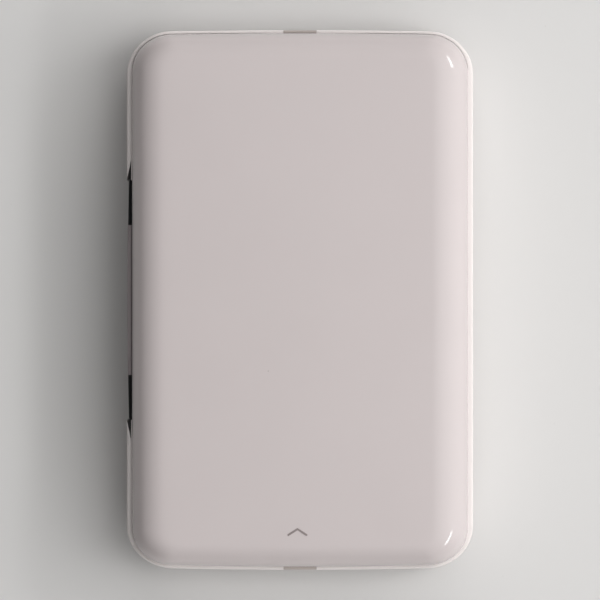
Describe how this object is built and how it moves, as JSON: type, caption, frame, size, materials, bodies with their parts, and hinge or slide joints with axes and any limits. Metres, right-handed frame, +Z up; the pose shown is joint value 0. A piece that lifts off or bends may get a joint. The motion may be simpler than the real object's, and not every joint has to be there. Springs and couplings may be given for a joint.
{
  "type": "compact photo printer",
  "caption": "Pocket photo printer: rounded slab case with a hinged gloss lid over a paper tray, gear-driven feed rollers, sprung print head and a side strip of controls.",
  "frame": {"origin": "centre of the case's plan, on the surface that its feet stand on", "axes": "+X across the case towards the plain side, +Y along the case towards the hinge and the paper exit, +Z up"},
  "size_m": [0.075, 0.117, 0.022],
  "materials": {
    "gloss_white": "high gloss, cool greyish white",
    "gloss_case": "gloss warm white",
    "gloss_black": "high gloss black",
    "dark_plastic": "fine matt texture",
    "grey_inlay": "satin warm grey",
    "clear_plastic": "milky clear light guide",
    "ivory_plastic": "natural acetal",
    "soft_rubber": "matt black rubber",
    "grey_rubber": "matt grey rubber",
    "foam_pad": "dense foam",
    "steel": "drawn bright steel",
    "zinc_steel": "zinc-plated sheet",
    "screw_steel": "black nickel",
    "aluminium": "extruded, clear anodised",
    "foil": "embossed laminate foil",
    "brass": "turned",
    "board_green": "solder mask on glass-epoxy",
    "chip_black": "moulded epoxy",
    "ceramic": "glazed ceramic",
    "amber_film": "polyimide film",
    "lead_skin": "soft insulation, one red and one black"
  },
  "bodies": {
    "base": {"base_shell": "gloss_case", "side_panel": "gloss_black", "led_windows": "clear_plastic", "usb_socket": "steel", "usb_tongue": "chip_black", "end_tabs": "grey_inlay", "exit_bezel": "dark_plastic", "feet": "soft_rubber", "case_screws": "screw_steel", "paper_tray": "dark_plastic", "tray_pad": "foam_pad", "circuit_board": "board_green", "board_chips": "chip_black", "board_shields": "zinc_steel", "board_sockets": "ivory_plastic", "board_switches": "chip_black", "battery_pack": "foil", "battery_foam": "foam_pad", "battery_leads": "lead_skin", "right_plate": "zinc_steel", "left_plate": "zinc_steel", "plate_screws": "screw_steel", "spring_bridge": "zinc_steel", "gear_studs": "steel", "roller_bushes": "ivory_plastic", "motor_can": "zinc_steel", "motor_cap": "chip_black", "motor_leads": "lead_skin", "head_pivot": "steel", "sensor_pin": "steel", "hinge_pins": "steel"},
    "power_button": {"power_button": "gloss_black"},
    "lid": {"lid_shell": "gloss_white", "plate_springs": "steel"},
    "pressure_plate": {"pressure_plate": "dark_plastic"},
    "platen": {"platen_rubber": "soft_rubber", "platen_shaft": "steel", "platen_gear": "ivory_plastic"},
    "drive": {"drive_roller": "steel", "drive_gear": "ivory_plastic"},
    "pinch": {"pinch_rubber": "grey_rubber", "pinch_shaft": "steel"},
    "pick": {"pick_tyres": "grey_rubber", "pick_shaft": "steel", "pick_gear": "ivory_plastic"},
    "middle_idler": {"middle_idler": "ivory_plastic"},
    "front_idler": {"front_idler": "ivory_plastic"},
    "reduction": {"reduction_gear": "ivory_plastic"},
    "motor_rotor": {"motor_shaft": "steel", "motor_pinion": "brass"},
    "print_head": {"head_sink": "aluminium", "head_ceramic": "ceramic", "head_socket": "ivory_plastic", "head_ribbon": "amber_film", "head_springs": "steel"},
    "sensor_lever": {"sensor_lever": "chip_black"},
    "lid_plunger": {"lid_plunger": "ivory_plastic"}
  },
  "joints": [
    {"name": "lid_tilt", "type": "hinge", "parent": "base", "child": "lid", "pos_m": [0, 0.054, 0.017], "axis": [-1, 0, 0], "range_deg": [0, 75]},
    {"name": "pressure_plate_tilt", "type": "hinge", "parent": "lid", "child": "pressure_plate", "pos_m": [0, -0.047, 0.0186], "axis": [1, 0, 0], "range_deg": [0, 4], "stiffness_Nm_per_rad": 0.3, "springref_deg": -5.73, "deforming": ["plate_springs"]},
    {"name": "power_button_press", "type": "slide", "parent": "base", "child": "power_button", "axis": [1, 0, 0], "range_m": [0, 0.0005], "stiffness_N_per_m": 600, "springref_m": -0.0005},
    {"name": "platen_spin", "type": "hinge", "parent": "base", "child": "platen", "pos_m": [0, 0.038, 0.0085], "axis": [1, 0, 0], "continuous": true},
    {"name": "drive_spin", "type": "hinge", "parent": "base", "child": "drive", "pos_m": [0, 0.049, 0.0099], "axis": [1, 0, 0], "continuous": true},
    {"name": "front_idler_spin", "type": "hinge", "parent": "base", "child": "front_idler", "pos_m": [0, 0.04422, 0.01353], "axis": [1, 0, 0], "continuous": true},
    {"name": "middle_idler_spin", "type": "hinge", "parent": "base", "child": "middle_idler", "pos_m": [0, 0.02775, 0.00865], "axis": [1, 0, 0], "continuous": true},
    {"name": "pick_spin", "type": "hinge", "parent": "base", "child": "pick", "pos_m": [0, 0.017, 0.0088], "axis": [1, 0, 0], "continuous": true},
    {"name": "reduction_spin", "type": "hinge", "parent": "base", "child": "reduction", "pos_m": [0, 0.00921, 0.0122], "axis": [1, 0, 0], "continuous": true},
    {"name": "motor_spin", "type": "hinge", "parent": "base", "child": "motor_rotor", "pos_m": [0, 0.003, 0.0064], "axis": [1, 0, 0], "continuous": true},
    {"name": "pinch_spin", "type": "hinge", "parent": "base", "child": "pinch", "pos_m": [0, 0.049, 0.01425], "axis": [1, 0, 0], "continuous": true},
    {"name": "print_head_tilt", "type": "hinge", "parent": "base", "child": "print_head", "pos_m": [0, 0.0305, 0.0148], "axis": [1, 0, 0], "range_deg": [0, 4], "stiffness_Nm_per_rad": 0.05, "springref_deg": -17.19, "deforming": ["head_springs", "head_ribbon"]},
    {"name": "sensor_tilt", "type": "hinge", "parent": "base", "child": "sensor_lever", "pos_m": [-0.017, 0.0275, 0.0091], "axis": [-1, 0, 0], "range_deg": [0, 25], "stiffness_Nm_per_rad": 0.0003, "springref_deg": -17.19},
    {"name": "lid_plunger_rise", "type": "slide", "parent": "base", "child": "lid_plunger", "axis": [0, 0, 1], "range_m": [0, 0.0008]}
  ],
  "couplings": [
    {"joint": "drive_spin", "follows": "platen_spin", "ratio": 1.6667},
    {"joint": "front_idler_spin", "follows": "platen_spin", "ratio": -1.6667},
    {"joint": "middle_idler_spin", "follows": "platen_spin", "ratio": -0.95238},
    {"joint": "pick_spin", "follows": "platen_spin", "ratio": 0.90909},
    {"joint": "reduction_spin", "follows": "platen_spin", "ratio": -1.6667},
    {"joint": "motor_spin", "follows": "platen_spin", "ratio": 3.0556},
    {"joint": "pinch_spin", "follows": "platen_spin", "ratio": -1.75},
    {"joint": "lid_plunger_rise", "follows": "lid_tilt", "m_per_rad": 0.0006}
  ]
}
